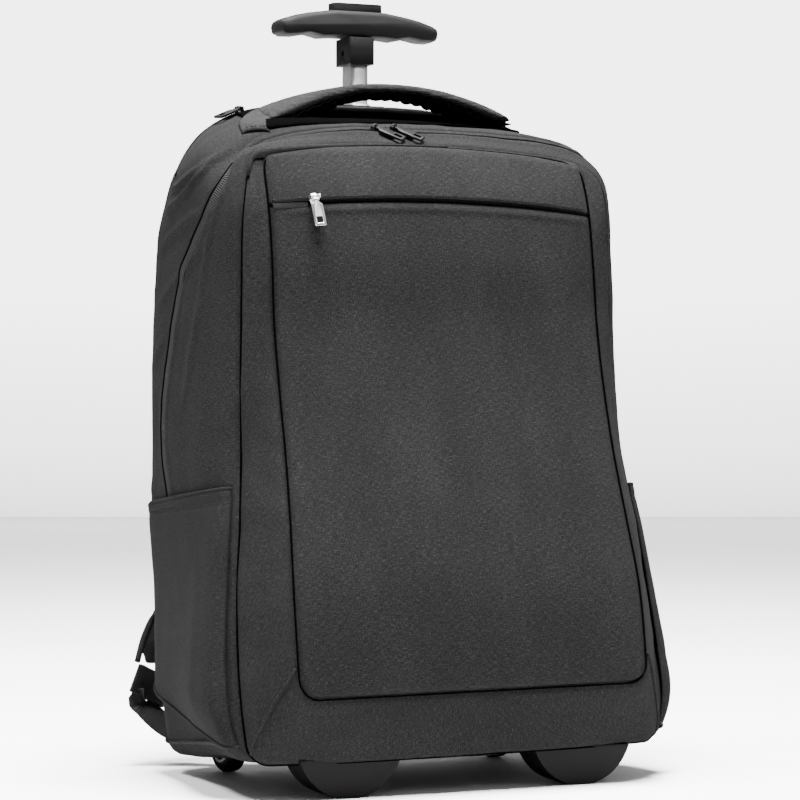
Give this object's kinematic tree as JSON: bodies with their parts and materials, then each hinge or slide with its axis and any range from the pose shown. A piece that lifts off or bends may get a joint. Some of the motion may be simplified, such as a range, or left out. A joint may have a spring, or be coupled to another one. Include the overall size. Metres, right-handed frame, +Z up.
{
  "type": "wheeled backpack",
  "caption": "Soft wheeled backpack with a telescopic T-handle, rear wheels, front standing feet, side pockets, zips, haul handle and padded shoulder straps.",
  "frame": {"origin": "on the floor under the middle of the whole backpack, standing upright", "axes": "+Z up, the front panel faces -Y, the back padding and straps face +Y, +X to the right seen from the front"},
  "size_m": [0.3582, 0.2904, 0.5658],
  "materials": {
    "fabric": "heather charcoal weave, matte",
    "mesh_fabric": "black spacer mesh",
    "strap_fabric": "dark padded weave",
    "webbing": "black ribbed webbing",
    "zip_tape": "black zip tape with coil",
    "silver_metal": "bright plated zip metal",
    "black_metal": "black coated zip metal",
    "black_plastic": "satin black",
    "grip_plastic": "dark grey, fine texture",
    "tyre": "matte black",
    "aluminium": "satin anodised"
  },
  "bodies": {
    "bag": {"bag_shell": "fabric", "front_panel": "fabric", "front_zip": "zip_tape", "front_band": "fabric", "main_zip": "zip_tape", "rear_zip": "zip_tape", "side_pocket_left": "fabric", "side_pocket_right": "fabric", "haul_handle": "fabric", "back_pad": "mesh_fabric", "shoulder_strap_left": "strap_fabric", "shoulder_strap_right": "strap_fabric", "strap_adjuster_left": "black_plastic", "strap_adjuster_right": "black_plastic", "strap_webbing_left": "webbing", "strap_webbing_right": "webbing", "strap_anchor_left": "webbing", "strap_anchor_right": "webbing", "front_foot_left": "black_plastic", "front_foot_right": "black_plastic", "wheel_housing_left": "black_plastic", "wheel_housing_right": "black_plastic", "front_zip_slider": "silver_metal", "main_zip_left_slider": "black_metal", "main_zip_right_slider": "black_metal", "rear_zip_slider": "black_metal", "handle_housing": "black_plastic", "handle_port": "black_plastic"},
    "wheel_left": {"wheel_tyre_left": "tyre", "wheel_hub_left": "black_plastic"},
    "wheel_right": {"wheel_tyre_right": "tyre", "wheel_hub_right": "black_plastic"},
    "mid_stage": {"handle_tube_mid": "aluminium"},
    "top_stage": {"handle_tube_inner": "aluminium", "handle_collar": "grip_plastic", "handle_grip": "grip_plastic"},
    "button": {"release_button": "grip_plastic"},
    "front_pull": {"front_zip_pull": "silver_metal"},
    "main_pull_left": {"main_zip_left_pull": "black_metal"},
    "main_pull_right": {"main_zip_right_pull": "black_metal"},
    "rear_pull": {"rear_zip_pull": "black_metal"}
  },
  "joints": [
    {"name": "wheel_left_spin", "type": "hinge", "parent": "bag", "child": "wheel_left", "pos_m": [-0.108, 0.04924, 0.024], "axis": [1, 0, 0], "continuous": true},
    {"name": "wheel_right_spin", "type": "hinge", "parent": "bag", "child": "wheel_right", "pos_m": [0.108, 0.04924, 0.024], "axis": [1, 0, 0], "continuous": true},
    {"name": "mid_slide", "type": "slide", "parent": "bag", "child": "mid_stage", "axis": [0, 0, 1], "range_m": [0, 0.24]},
    {"name": "top_slide", "type": "slide", "parent": "mid_stage", "child": "top_stage", "axis": [0, 0, 1], "range_m": [0, 0.24]},
    {"name": "button_press", "type": "slide", "parent": "top_stage", "child": "button", "axis": [0, 0, -1], "range_m": [0, 0.003], "stiffness_N_per_m": 800},
    {"name": "front_pull_swing", "type": "hinge", "parent": "bag", "child": "front_pull", "pos_m": [-0.09464, -0.07889, 0.41058], "axis": [-0.9928, 0.067, -0.0993], "range_deg": [0, 140]},
    {"name": "main_pull_left_swing", "type": "hinge", "parent": "bag", "child": "main_pull_left", "pos_m": [-0.02965, -0.03451, 0.46526], "axis": [-0.6942, -0.6287, -0.3505], "range_deg": [0, 140]},
    {"name": "main_pull_right_swing", "type": "hinge", "parent": "bag", "child": "main_pull_right", "pos_m": [-0.01465, -0.03451, 0.46574], "axis": [-0.6942, -0.6287, -0.3504], "range_deg": [0, 140]},
    {"name": "rear_pull_swing", "type": "hinge", "parent": "bag", "child": "rear_pull", "pos_m": [-0.10398, 0.0384, 0.48163], "axis": [-0.4185, 0.9055, 0.0704], "range_deg": [0, 140]}
  ]
}
